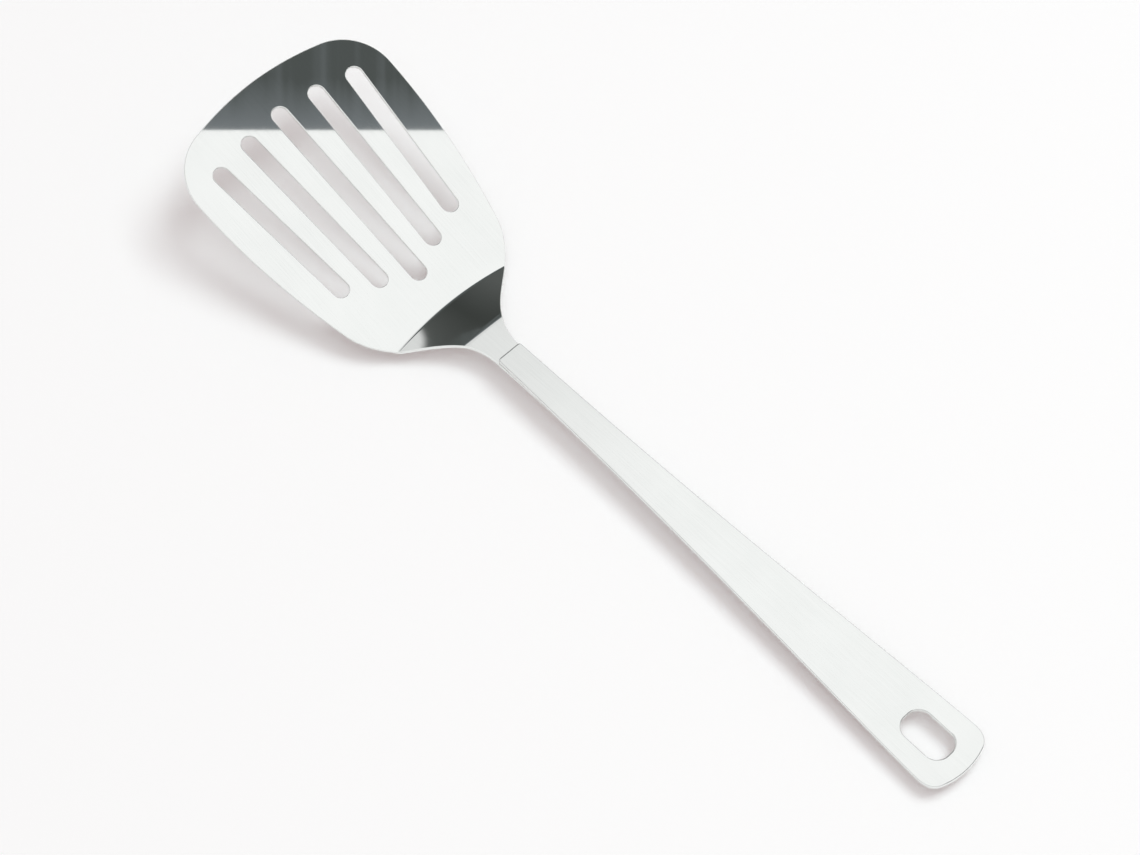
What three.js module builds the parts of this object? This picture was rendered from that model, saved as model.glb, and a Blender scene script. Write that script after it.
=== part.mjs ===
// A slotted kitchen turner of stainless steel: a pressed sheet head, plug-welded under a flat bar handle.
// Millimetres, +Z up. The tool lies at rest on a table at z = 0, on its heel and on its handle's end.
// The blade's tip is toward +X, the sides mirror in the XZ plane, and the origin is under mid-length.
import * as THREE from 'three';
import { mergeVertices } from 'three/addons/utils/BufferGeometryUtils.js';

// Sheet, bar and the gap between pieces
const SHEET_THICKNESS = 1.2;
const HANDLE_THICKNESS = 2;
const HANDLE_EDGE_ROUND = 0.6;
const JOINT_CLEARANCE = 0.3;

// Blade, measured on its own plane
const BLADE_LENGTH = 96.3;
const BLADE_WIDTH = 82.6;
const TIP_RADIUS = 108;
const CORNER_RADIUS = 19;
const SIDE_TANGENT_LENGTH = 30;
const SHOULDER_TO_HEEL = 12.3;
const SHOULDER_DRAW_IN = 8.3;
const SHOULDER_SWEEP = 18.5;

// Slots: a fan about a point on the middle line, with setbacks from tip and heel, from the middle one outward
const SLOT_WIDTH = 5.9;
const SLOT_FRONT_SETBACKS = [14.5, 16.1, 18.7];
const SLOT_REAR_SETBACKS = [14.1, 20.1, 25.2];
const SLOT_FAN_RADIUS = 330;
const SLOT_TO_SIDE = 11;

// Neck and tang
const BLADE_ANGLE_DEGREES = 16.3;
const NECK_ANGLE_DEGREES = 13.3;
const HEEL_FOLD_RADIUS = 3.5;
const NECK_FOLD_RADIUS = 9;
const NECK_CROWN_RADIUS = 245;
const NECK_LENGTH = 17.35;
const NECK_SWEEP = 20;
const TANG_SHOWING = 12;
const TANG_LAP = 42;
const TANG_WIDTH = 10;
const TANG_END_WIDTH = 8.4;
const TANG_END_ROUND = 3;

// Handle
const HANDLE_LENGTH = 199;
const HANDLE_FRONT_WIDTH = 9.6;
const HANDLE_WAIST_LENGTH = 95;
const HANDLE_WAIST_WIDTH = 12.3;
const HANDLE_FLARE_LENGTH = 40;
const HANDLE_FLARE_WIDTH = 22.6;
const HANDLE_END_WIDTH = 25.7;
const HANDLE_FRONT_ROUND = 1.2;
const HANDLE_END_RADIUS = 26;
const HANDLE_CORNER_LENGTH = 9;
const HANDLE_CORNER_WIDTH = 4;
const HOLE_LENGTH = 17.5;
const HOLE_WIDTH = 10.8;
const HOLE_CORNER_RADIUS = 4.6;
const HOLE_TO_END = 7.3;

// Weld plugs in the tang
const PLUG_NAMES = ['weld_plug_front', 'weld_plug_middle', 'weld_plug_rear'];
const PLUG_DIAMETER = 4;
const PLUG_TO_HANDLE_FRONT = 9;
const PLUG_TO_TANG_END = 9;

// Fineness of the round stretches
const CURVE_STEPS = 8;
const BEND_STEPS = 8;
const RUN_STEPS = 4;
const NECK_STRIPS = 10;
const EDGE_STEPS = 3;
const PLUG_SIDES = 28;
const JOIN_TOLERANCE = 1e-4;
const SLOPE_STEP = 1e-3;
const SEARCH_HALVINGS = 40;

const STEEL_COLOUR = 0xd6d9d8;
const STEEL_ROUGHNESS = 0.18;

// The handle's front edge is at x = 0 and the tang's upper face at z = 0, until the tool is laid on the table
const bladeAngle = THREE.MathUtils.degToRad(BLADE_ANGLE_DEGREES);
const bladeSlope = Math.tan(bladeAngle);
const neckAngle = THREE.MathUtils.degToRad(NECK_ANGLE_DEGREES);
const neckSlope = Math.tan(neckAngle);
const heelX = TANG_SHOWING + NECK_LENGTH * Math.cos(neckAngle);
const heelZ = -NECK_LENGTH * Math.sin(neckAngle);
const foldSlope = bladeSlope + neckSlope;

const steel = () => new THREE.MeshStandardMaterial({
  color: STEEL_COLOUR,
  roughness: STEEL_ROUGHNESS,
  metalness: 1,
});

// Numbers from one value to another in equal steps, both ends included.
function evenly(from, to, steps) {
  return Array.from({ length: steps + 1 }, (_, step) => from + (to - from) * step / steps);
}

// The higher of two heights, with the corner between them rounded where they differ by less than the reach.
function roundedHigher(first, second, reach) {
  const overlap = Math.max(reach - Math.abs(first - second), 0);
  return Math.max(first, second) + overlap ** 2 / (4 * reach);
}

const heelReach = HEEL_FOLD_RADIUS * foldSlope ** 2 / 2;
const neckReach = NECK_FOLD_RADIUS * neckSlope ** 2 / 2;

// The height of the head's upper face: the flat tang, the neck that falls from it and is arched across,
// and the flat blade that rises from the heel to the tip.
function headHeight(x, y) {
  const neckLine = -neckSlope * (x - TANG_SHOWING);
  const neck = -roundedHigher(0, -neckLine, neckReach);
  const arch = THREE.MathUtils.smoothstep(x, 0, heelX) * y ** 2 / (2 * NECK_CROWN_RADIUS);
  const blade = heelZ + bladeSlope * (x - heelX);
  return roundedHigher(blade, neck - arch, heelReach);
}

function headNormal(x, y) {
  const slopeX = (headHeight(x + SLOPE_STEP, y) - headHeight(x - SLOPE_STEP, y)) / (2 * SLOPE_STEP);
  const slopeY = (headHeight(x, y + SLOPE_STEP) - headHeight(x, y - SLOPE_STEP)) / (2 * SLOPE_STEP);
  return new THREE.Vector3(-slopeX, -slopeY, 1).normalize();
}

// A place seen from above, given along the blade from the heel toward the tip and across it.
const onBlade = (along, across) => new THREE.Vector2(heelX + along * Math.cos(bladeAngle), across);

// The points of a path, without a second point where two stretches join.
function pathPoints(path) {
  const points = path.getPoints(CURVE_STEPS);
  return points.filter((point, index) => index === 0 || point.distanceTo(points[index - 1]) > JOIN_TOLERANCE);
}

const mirrored = (points) => points.map((point) => new THREE.Vector2(point.x, -point.y));

// The closed outline whose upper half runs from one end of the middle line to the other.
const closedOutline = (upper) => [...upper, ...mirrored(upper.slice(1, -1)).reverse()];

// The upper half of the blade's rim, from the tip to the shoulder: arched tip, round corner, side drawing in.
function bladeRim() {
  const halfWidth = BLADE_WIDTH / 2;
  const cornerY = halfWidth - CORNER_RADIUS;
  const tipCentre = BLADE_LENGTH - TIP_RADIUS;
  const corner = tipCentre + Math.sqrt((TIP_RADIUS - CORNER_RADIUS) ** 2 - cornerY ** 2);
  const tipHalfAngle = Math.atan2(cornerY, corner - tipCentre);
  const rim = new THREE.Path();
  rim.absarc(tipCentre, 0, TIP_RADIUS, 0, tipHalfAngle);
  rim.absarc(corner, cornerY, CORNER_RADIUS, tipHalfAngle, Math.PI / 2);
  const shoulderY = halfWidth - SHOULDER_DRAW_IN;
  rim.quadraticCurveTo(corner - SIDE_TANGENT_LENGTH, halfWidth, SHOULDER_TO_HEEL, shoulderY);
  return pathPoints(rim).map((point) => onBlade(point.x, point.y));
}

// The edge from the blade's shoulder in to the tang, seen from above.
function neckEdge(rim) {
  const [before, shoulder] = rim.slice(-2);
  const shoulderHeading = shoulder.clone().sub(before).normalize();
  const tang = new THREE.Vector2(0, TANG_WIDTH / 2);
  return new THREE.CubicBezierCurve(
    shoulder,
    shoulder.clone().addScaledVector(shoulderHeading, SHOULDER_SWEEP),
    new THREE.Vector2(NECK_SWEEP, TANG_WIDTH / 2),
    tang,
  );
}

// The heel's fold bows toward the tip, because the arched neck meets the flat blade later at its sides.
const foldBow = (y) => y ** 2 / (2 * NECK_CROWN_RADIUS * foldSlope);

// How far along the neck's edge a bowed row ends that crosses the middle line at x.
function edgeShare(edge, x) {
  let [low, high] = [0, 1];
  for (let halving = 0; halving < SEARCH_HALVINGS; halving += 1) {
    const middle = (low + high) / 2;
    const point = edge.getPoint(middle);
    if (point.x + foldBow(point.y) > x) low = middle;
    else high = middle;
  }
  return (low + high) / 2;
}

// The points of a bowed row across the neck, from its +y edge to its -y edge.
function neckRow(edge, x) {
  const end = edge.getPoint(edgeShare(edge, x));
  return evenly(end.y, -end.y, NECK_STRIPS).map((y) => new THREE.Vector2(x - foldBow(y), y));
}

const outermostSlot = SLOT_FRONT_SETBACKS.length - 1;
const slotFanStep = Math.atan((BLADE_WIDTH / 2 - SLOT_TO_SIDE) / SLOT_FAN_RADIUS) / outermostSlot;

// A slot with round ends, numbered from the middle one, with the two sides as plus and minus.
function slotHole(number) {
  const slope = Math.tan(slotFanStep * number);
  const fanPoint = BLADE_LENGTH - SLOT_FAN_RADIUS;
  const centre = (along) => new THREE.Vector2(along, slope * (along - fanPoint));
  const front = centre(BLADE_LENGTH - SLOT_FRONT_SETBACKS[Math.abs(number)]);
  const rear = centre(SLOT_REAR_SETBACKS[Math.abs(number)]);
  const heading = rear.clone().sub(front).angle();
  const hole = new THREE.Path();
  hole.absarc(front.x, front.y, SLOT_WIDTH / 2, heading + Math.PI / 2, heading + 1.5 * Math.PI);
  hole.absarc(rear.x, rear.y, SLOT_WIDTH / 2, heading - Math.PI / 2, heading + Math.PI / 2);
  return pathPoints(hole).map((point) => onBlade(point.x, point.y));
}

const plugPlaces = evenly(-PLUG_TO_HANDLE_FRONT, PLUG_TO_TANG_END - TANG_LAP, PLUG_NAMES.length - 1);

function plugHole(place) {
  const hole = new THREE.Path();
  hole.absarc(place, 0, PLUG_DIAMETER / 2 + JOINT_CLEARANCE, 0, 2 * Math.PI);
  return pathPoints(hole).slice(1);
}

// A flat region with holes as triangles.
function filledOutline(outline, holes) {
  const points = [outline, ...holes].flat();
  const faces = THREE.ShapeUtils.triangulateShape(outline, holes);
  return faces.map((face) => face.map((corner) => points[corner]));
}

// The blank seen from above as triangles: the slotted blade, the rows across the neck and the drilled tang.
function blankTriangles() {
  const rim = bladeRim();
  const edge = neckEdge(rim);
  const heelRun = heelReach / foldSlope;
  const neckRun = neckReach / neckSlope;
  const rowPlaces = [
    ...evenly(0, TANG_SHOWING - neckRun, RUN_STEPS),
    ...evenly(TANG_SHOWING - neckRun, TANG_SHOWING + neckRun, BEND_STEPS).slice(1),
    ...evenly(TANG_SHOWING + neckRun, heelX - heelRun, RUN_STEPS).slice(1),
    ...evenly(heelX - heelRun, heelX + heelRun, BEND_STEPS).slice(1),
  ];
  const rows = rowPlaces.map((x) => neckRow(edge, x));
  const tangRow = rows[0];
  const bladeRow = rows[rows.length - 1];
  const toMiddle = NECK_STRIPS / 2;

  const shoulderEnd = edgeShare(edge, rowPlaces[rowPlaces.length - 1]);
  const shoulderEdge = evenly(0, shoulderEnd, CURVE_STEPS).slice(1, -1).map((share) => edge.getPoint(share));
  const bladeOutline = closedOutline([...rim, ...shoulderEdge, ...bladeRow.slice(0, toMiddle + 1)]);
  const slots = evenly(-outermostSlot, outermostSlot, 2 * outermostSlot).map(slotHole);

  const tangEnd = new THREE.Vector2(-TANG_LAP, TANG_END_WIDTH / 2);
  const tangHeading = tangEnd.clone().sub(tangRow[0]).normalize();
  const endRound = Math.min(TANG_END_ROUND, TANG_END_WIDTH / 2);
  const tangRound = tangEnd.clone().addScaledVector(tangHeading, -endRound);
  const tangRim = new THREE.Path();
  tangRim.moveTo(tangRound.x, tangRound.y);
  tangRim.quadraticCurveTo(tangEnd.x, tangEnd.y, tangEnd.x, tangEnd.y - endRound);
  const tangUpper = [...tangRow.slice(0, toMiddle + 1).reverse(), ...pathPoints(tangRim)];
  const tangOutline = closedOutline([...tangUpper, new THREE.Vector2(tangEnd.x, 0)]);
  const plugHoles = plugPlaces.map(plugHole);

  const triangles = [...filledOutline(bladeOutline, slots), ...filledOutline(tangOutline, plugHoles)];
  for (let row = 1; row < rows.length; row += 1) {
    for (let strip = 0; strip < NECK_STRIPS; strip += 1) {
      const [a, b] = [rows[row - 1][strip], rows[row - 1][strip + 1]];
      const [c, d] = [rows[row][strip], rows[row][strip + 1]];
      triangles.push([a, b, c], [b, d, c]);
    }
  }
  return triangles;
}

// Raises the flat net to the head's height and thickens it, with a wall along every free edge.
function headGeometry() {
  const numbers = new Map();
  const corners = [];
  const numberOf = (point) => {
    const key = point.toArray().map((value) => Math.round(value / JOIN_TOLERANCE)).join(' ');
    if (!numbers.has(key)) {
      numbers.set(key, corners.length);
      corners.push(point);
    }
    return numbers.get(key);
  };
  const faces = blankTriangles().map((triangle) => {
    const [a, b, c] = triangle;
    const turn = b.clone().sub(a).cross(c.clone().sub(a));
    return (turn > 0 ? [a, b, c] : [a, c, b]).map(numberOf);
  });

  const edges = new Set(faces.flatMap(([a, b, c]) => [`${a} ${b}`, `${b} ${c}`, `${c} ${a}`]));
  const below = corners.length;
  const index = faces.flatMap(([a, b, c]) => [a, b, c, a + below, c + below, b + below]);
  for (const edge of edges) {
    const [a, b] = edge.split(' ').map(Number);
    if (!edges.has(`${b} ${a}`)) index.push(b, a, a + below, b, a + below, b + below);
  }

  const upper = corners.map((point) => new THREE.Vector3(point.x, point.y, headHeight(point.x, point.y)));
  const lower = upper.map((point) => {
    return point.clone().addScaledVector(headNormal(point.x, point.y), -SHEET_THICKNESS);
  });
  const geometry = new THREE.BufferGeometry().setFromPoints([...upper, ...lower]);
  geometry.setIndex(index);
  geometry.computeVertexNormals();
  return geometry;
}

// Where two straight runs would meet if they went on.
function meetingPoint(start, startDirection, end, endDirection) {
  const reach = end.clone().sub(start).cross(endDirection) / startDirection.cross(endDirection);
  return start.clone().addScaledVector(startDirection, reach);
}

// The bar seen from above: a narrow front, edges that flare in a curve, and a slightly round end.
function handleShape() {
  const frontHalf = HANDLE_FRONT_WIDTH / 2;
  const front = new THREE.Vector2(0, frontHalf);
  const sideEnd = new THREE.Vector2(HANDLE_CORNER_LENGTH - HANDLE_LENGTH, HANDLE_END_WIDTH / 2);
  const waistAim = new THREE.Vector2(-HANDLE_WAIST_LENGTH, HANDLE_WAIST_WIDTH / 2);
  const flareAim = new THREE.Vector2(sideEnd.x + HANDLE_FLARE_LENGTH, HANDLE_FLARE_WIDTH / 2);
  const sideHeading = waistAim.clone().sub(front).normalize();
  const sideStart = front.clone().addScaledVector(sideHeading, HANDLE_FRONT_ROUND);
  const endCentreX = HANDLE_END_RADIUS - HANDLE_LENGTH;
  const endAngle = Math.asin((sideEnd.y - HANDLE_CORNER_WIDTH) / HANDLE_END_RADIUS);
  const endStart = new THREE.Vector2(
    endCentreX - HANDLE_END_RADIUS * Math.cos(endAngle),
    HANDLE_END_RADIUS * Math.sin(endAngle),
  );
  const endHeading = new THREE.Vector2(-Math.sin(endAngle), -Math.cos(endAngle));
  const corner = meetingPoint(sideEnd, sideEnd.clone().sub(flareAim).normalize(), endStart, endHeading);

  const half = new THREE.Path();
  half.moveTo(0, 0);
  half.lineTo(0, frontHalf - HANDLE_FRONT_ROUND);
  half.quadraticCurveTo(front.x, front.y, sideStart.x, sideStart.y);
  half.bezierCurveTo(waistAim.x, waistAim.y, flareAim.x, flareAim.y, sideEnd.x, sideEnd.y);
  half.quadraticCurveTo(corner.x, corner.y, endStart.x, endStart.y);
  half.absarc(endCentreX, 0, HANDLE_END_RADIUS, Math.PI - endAngle, Math.PI);
  const shape = new THREE.Shape(closedOutline(pathPoints(half)));
  shape.holes.push(hangingHole());
  return shape;
}

// The hanging hole: a long rounded opening on the middle line.
function hangingHole() {
  const radius = Math.min(HOLE_CORNER_RADIUS, HOLE_WIDTH / 2, HOLE_LENGTH / 2);
  const rear = HOLE_TO_END - HANDLE_LENGTH + radius;
  const front = HOLE_TO_END - HANDLE_LENGTH + HOLE_LENGTH - radius;
  const reach = HOLE_WIDTH / 2 - radius;
  const quarter = Math.PI / 2;
  const hole = new THREE.Path();
  hole.absarc(front, reach, radius, 0, quarter);
  hole.absarc(rear, reach, radius, quarter, 2 * quarter);
  hole.absarc(rear, -reach, radius, 2 * quarter, 3 * quarter);
  hole.absarc(front, -reach, radius, 3 * quarter, 4 * quarter);
  return hole;
}

function closedGeometry(geometry) {
  geometry.deleteAttribute('normal');
  geometry.deleteAttribute('uv');
  const closed = mergeVertices(geometry);
  closed.computeVertexNormals();
  return closed;
}

// The round along the bar's edges leaves at least a third of its side flat.
const edgeRound = Math.min(HANDLE_EDGE_ROUND, HANDLE_THICKNESS / 3);

function handleGeometry() {
  const bar = new THREE.ExtrudeGeometry(handleShape(), {
    depth: HANDLE_THICKNESS - 2 * edgeRound,
    bevelEnabled: true,
    bevelThickness: edgeRound,
    bevelSize: edgeRound,
    bevelOffset: -edgeRound,
    bevelSegments: EDGE_STEPS,
    curveSegments: CURVE_STEPS / 2,
  });
  return closedGeometry(bar.translate(0, 0, JOINT_CLEARANCE + edgeRound));
}

function plugGeometry() {
  const plug = new THREE.CylinderGeometry(PLUG_DIAMETER / 2, PLUG_DIAMETER / 2, SHEET_THICKNESS, PLUG_SIDES);
  return closedGeometry(plug.rotateX(Math.PI / 2));
}

// The slope of a table that touches the handle's lower end edge and the lowest place of the head.
function restSlope(headPositions) {
  const edgeX = edgeRound - HANDLE_LENGTH;
  const point = new THREE.Vector3();
  let slope = Infinity;
  for (let index = 0; index < headPositions.count; index += 1) {
    point.fromBufferAttribute(headPositions, index);
    slope = Math.min(slope, Math.atan2(point.z - JOINT_CLEARANCE, point.x - edgeX));
  }
  return slope;
}

const head = new THREE.Mesh(headGeometry(), steel());
head.name = 'head';

const handle = new THREE.Mesh(handleGeometry(), steel());
handle.name = 'handle';

const plugs = PLUG_NAMES.map((name, index) => {
  const plug = new THREE.Mesh(plugGeometry(), steel());
  plug.name = name;
  plug.position.set(plugPlaces[index], 0, -SHEET_THICKNESS / 2);
  return plug;
});

const tool = new THREE.Group();
tool.add(head, handle, ...plugs);
tool.rotation.y = restSlope(head.geometry.getAttribute('position'));

const spatula = new THREE.Group();
spatula.add(tool);
spatula.updateMatrixWorld(true);
const extent = new THREE.Box3().setFromObject(spatula, true);
spatula.position.set(-(extent.min.x + extent.max.x) / 2, 0, -extent.min.z);

export default spatula;
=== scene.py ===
# %% [markdown]
# # A slotted steel turner
# The real tool is two pieces of stainless steel: a pressed sheet head and a flat bar handle that lies
# on the head's tang and is welded to it from below. The solids arrive as a fixed frame, and every
# mesh here is made in that frame, in metres. The box of the solids is kept, because the finished
# meshes have to stay inside it.

# %% Load the frame
import math
import bpy
from mathutils import Matrix, Vector
from mathutils.geometry import delaunay_2d_cdt


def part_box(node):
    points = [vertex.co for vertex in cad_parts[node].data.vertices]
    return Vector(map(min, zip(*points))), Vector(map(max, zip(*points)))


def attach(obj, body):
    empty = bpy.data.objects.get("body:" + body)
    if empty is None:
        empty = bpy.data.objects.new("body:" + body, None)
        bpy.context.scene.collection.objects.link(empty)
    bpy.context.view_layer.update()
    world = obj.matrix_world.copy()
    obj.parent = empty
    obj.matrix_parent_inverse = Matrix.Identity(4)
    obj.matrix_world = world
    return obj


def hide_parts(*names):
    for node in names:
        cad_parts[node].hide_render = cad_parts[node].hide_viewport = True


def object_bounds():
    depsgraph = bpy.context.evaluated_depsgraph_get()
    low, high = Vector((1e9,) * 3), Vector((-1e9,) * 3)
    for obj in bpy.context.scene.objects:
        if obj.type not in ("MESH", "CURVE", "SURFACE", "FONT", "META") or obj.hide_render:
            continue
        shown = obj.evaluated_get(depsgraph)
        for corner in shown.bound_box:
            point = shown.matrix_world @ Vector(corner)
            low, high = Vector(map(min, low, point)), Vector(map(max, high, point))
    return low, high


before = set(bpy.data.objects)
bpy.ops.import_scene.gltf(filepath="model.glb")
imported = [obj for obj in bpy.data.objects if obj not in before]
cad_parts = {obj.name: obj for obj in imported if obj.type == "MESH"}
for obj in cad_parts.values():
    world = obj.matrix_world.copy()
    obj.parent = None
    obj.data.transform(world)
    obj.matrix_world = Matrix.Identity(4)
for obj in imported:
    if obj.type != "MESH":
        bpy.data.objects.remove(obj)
cad_low, cad_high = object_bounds()
MM = 0.001
print("solids:", sorted(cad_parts))
print("box in mm:", [round(side / MM, 1) for side in cad_high - cad_low])

# %% [markdown]
# ## The tool's own directions
# The turner lies a little tilted, on its heel and its handle's end. Typing that tilt in again would
# be a second copy of a size, so it is measured: the weld plugs sit in a row along the tang, and the
# line through the first and the last of them is the tool's own length direction. From here on, x runs
# from the handle's front edge toward the tip, y across and z up from the tang's upper face.

# %% Measure the tilt from the weld plugs
SHEET_THICKNESS = 1.2 * MM
PLUG_TO_HANDLE_FRONT = 9 * MM


def node_middle(node):
    low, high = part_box(node)
    return (low + high) / 2


plug_names = ["weld_plug_front", "weld_plug_middle", "weld_plug_rear"]
plug_middles = [node_middle(name) for name in plug_names]
lengthwise = (plug_middles[0] - plug_middles[-1]).normalized()
crosswise = Vector((0, 1, 0))
upward = lengthwise.cross(crosswise)
tool_to_row = Matrix((lengthwise, crosswise, upward)).transposed().to_4x4()
handle_front = plug_middles[0] + lengthwise * PLUG_TO_HANDLE_FRONT
tool_to_row.translation = handle_front + upward * SHEET_THICKNESS / 2
print("tilt in degrees:", round(math.degrees(math.asin(lengthwise.z)), 2))

# %% [markdown]
# ## Lines and curves
# An outline needs only arcs, straight runs and smooth sweeps. Blender's curve objects could draw
# them, but points in plain lists are easier to offset, mirror and share between the faces and the
# rounded edges.

# %% Points along arcs and sweeps
CURVE_STEPS = 32


def evenly(first, last, steps):
    return [first + (last - first) * step / steps for step in range(steps + 1)]


def arc(centre_x, centre_y, radius, start, end):
    angles = evenly(start, end, CURVE_STEPS)
    return [Vector((centre_x + radius * math.cos(a), centre_y + radius * math.sin(a))) for a in angles]


def sweep(controls, share):
    """A point on the smooth curve from the first control to the last, which leans toward the others."""
    while len(controls) > 1:
        controls = [a.lerp(b, share) for a, b in zip(controls, controls[1:])]
    return controls[0]


def sweep_points(controls):
    return [sweep(controls, share) for share in evenly(0, 1, CURVE_STEPS)]


def without_repeats(points):
    near = 0.001 * MM
    return [p for i, p in enumerate(points) if i == 0 or (p - points[i - 1]).length > near]


def mirrored(points):
    return [Vector((p.x, -p.y)) for p in points]


print("a quarter arc has", len(arc(0, 0, MM, 0, math.pi / 2)), "points")

# %% [markdown]
# ## The head's surface
# The head is one sheet with two folds. The blade is a true plane, so that its reflections stay
# straight. The neck falls from the tang to the heel and is arched across, as pressed necks are,
# which is why the heel's fold bows toward the tip. A flat mesh could be bent with modifiers, but
# one height formula gives all of it, and its slope gives the exact normal at every point, so the
# shading needs no smoothing tricks.

# %% Height and normal of the sheet
BLADE_ANGLE = math.radians(16.3)
NECK_ANGLE = math.radians(13.3)
NECK_LENGTH = 17.35 * MM
NECK_CROWN_RADIUS = 245 * MM
HEEL_FOLD_RADIUS = 3.5 * MM
NECK_FOLD_RADIUS = 9 * MM
TANG_SHOWING = 12 * MM

blade_slope = math.tan(BLADE_ANGLE)
neck_slope = math.tan(NECK_ANGLE)
fold_slope = blade_slope + neck_slope
heel_x = TANG_SHOWING + NECK_LENGTH * math.cos(NECK_ANGLE)
heel_z = -NECK_LENGTH * math.sin(NECK_ANGLE)
heel_reach = HEEL_FOLD_RADIUS * fold_slope ** 2 / 2
neck_reach = NECK_FOLD_RADIUS * neck_slope ** 2 / 2


def rounded_higher(first, second, reach):
    overlap = max(reach - abs(first - second), 0)
    return max(first, second) + overlap ** 2 / (4 * reach)


def sheet_height(x, y):
    neck = -rounded_higher(0, neck_slope * (x - TANG_SHOWING), neck_reach)
    share = min(max(x / heel_x, 0), 1)
    arch = share * share * (3 - 2 * share) * y ** 2 / (2 * NECK_CROWN_RADIUS)
    blade = heel_z + blade_slope * (x - heel_x)
    return rounded_higher(blade, neck - arch, heel_reach)


def sheet_surface(x, y):
    step = 0.01 * MM
    slope_x = (sheet_height(x + step, y) - sheet_height(x - step, y)) / (2 * step)
    slope_y = (sheet_height(x, y + step) - sheet_height(x, y - step)) / (2 * step)
    return sheet_height(x, y), Vector((-slope_x, -slope_y, 1)).normalized()


print("heel ahead of the handle in mm:", round(heel_x / MM, 2))
print("heel below the tang in mm:", round(-heel_z / MM, 2))

# %% [markdown]
# ## Filling a flat face
# A flat face with holes could be one face with many corners, but Blender cuts such a face into long
# slivers. The triangles are made here instead, between an outer loop of points and the hole loops in
# it. Blender's own triangulation does the work and returns the holes filled as well, so triangles
# that lie inside one hole are dropped.

# %% Fill a face with holes
def signed_area(loop):
    return sum(a.cross(b) for a, b in zip(loop, loop[1:] + loop[:1])) / 2


def turned(loop, left):
    return loop if (signed_area(loop) > 0) == left else loop[::-1]


def filled(points, loops):
    """Triangles, turned left, between an outer loop of point numbers and the round holes in it."""
    order = [i for loop in loops for i in loop]
    owner = [number for number, loop in enumerate(loops) for i in loop]
    edges = []
    for loop in loops:
        first = len(edges)
        edges += [(first + a, first + (a + 1) % len(loop)) for a in range(len(loop))]
    inside_edges = 1
    same_place = 0.0001 * MM
    result = delaunay_2d_cdt([points[i] for i in order], edges, [], inside_edges, same_place)
    triangles, sources = result[2], result[3]
    faces = []
    for triangle in triangles:
        corners = [sources[i][0] for i in triangle]
        owners = {owner[i] for i in corners}
        if len(owners) == 1 and owners != {0}:
            continue
        faces.append(tuple(order[i] for i in corners))
    area = sum((points[b] - points[a]).cross(points[c] - points[a]) / 2 for a, b, c in faces)
    wanted = sum(signed_area([points[i] for i in loop]) for loop in loops)
    print("filled", round(area / MM ** 2, 1), "of", round(wanted / MM ** 2, 1), "square mm")
    return faces


square = [Vector((x * MM, y * MM)) for x, y in ((0, 0), (2, 0), (2, 2), (0, 2))]
print("a small square takes", len(filled(square, [[0, 1, 2, 3]])), "triangles")

# %% [markdown]
# ## Round the edge
# A stamped sheet is deburred, and the thin bright or dark line along its edge is most of what makes
# it look like metal. A bevel modifier could round it, but it would average the normals near the
# edge and spoil the reflections beside it. So the rounding is a short list of steps from the upper
# face to the lower one, and each step knows how upright its normal still is.

# %% Steps round an edge
EDGE_STEPS = 5


def loop_normals(points, loop):
    """Directions that point away from the metal, which lies to the left along a loop."""
    normals = []
    for place in range(len(loop)):
        before, after = points[loop[place - 1]], points[loop[(place + 1) % len(loop)]]
        tangent = (after - before).normalized()
        normals.append(Vector((tangent.y, -tangent.x)))
    return normals


def edge_steps(thickness, edge_round):
    """Steps from the upper face to the lower: the share of the way out, the drop and how upright."""
    turns = evenly(0, math.pi / 2, EDGE_STEPS)[1:]
    profile = [(math.sin(a), 1 - math.cos(a), math.cos(a)) for a in turns]
    steps = [(out, edge_round * fall, up) for out, fall, up in profile]
    steps += [(out, thickness - edge_round * fall, -up) for out, fall, up in reversed(profile)]
    return steps


print("steps round an edge:", len(edge_steps(SHEET_THICKNESS, SHEET_THICKNESS / 2)))

# %% [markdown]
# ## A plate from its outline
# The head and the handle are both plates. Extruding an outline would make one too, but with a sharp
# rim. Here the two faces and the rings of the rim are laid out point by point, with a normal for
# every vertex. The large flat faces then stay perfectly flat in a reflection.

# %% Build a plate from its outline
def new_piece(name, spots, polygons):
    mesh = bpy.data.meshes.new(name)
    mesh.from_pydata([tool_to_row @ spot for spot in spots], [], polygons)
    mesh.polygons.foreach_set("use_smooth", [True] * len(mesh.polygons))
    piece = bpy.data.objects.new(name, mesh)
    bpy.context.scene.collection.objects.link(piece)
    print(name, "has", len(mesh.vertices), "vertices and", len(mesh.polygons), "faces")
    return piece


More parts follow.
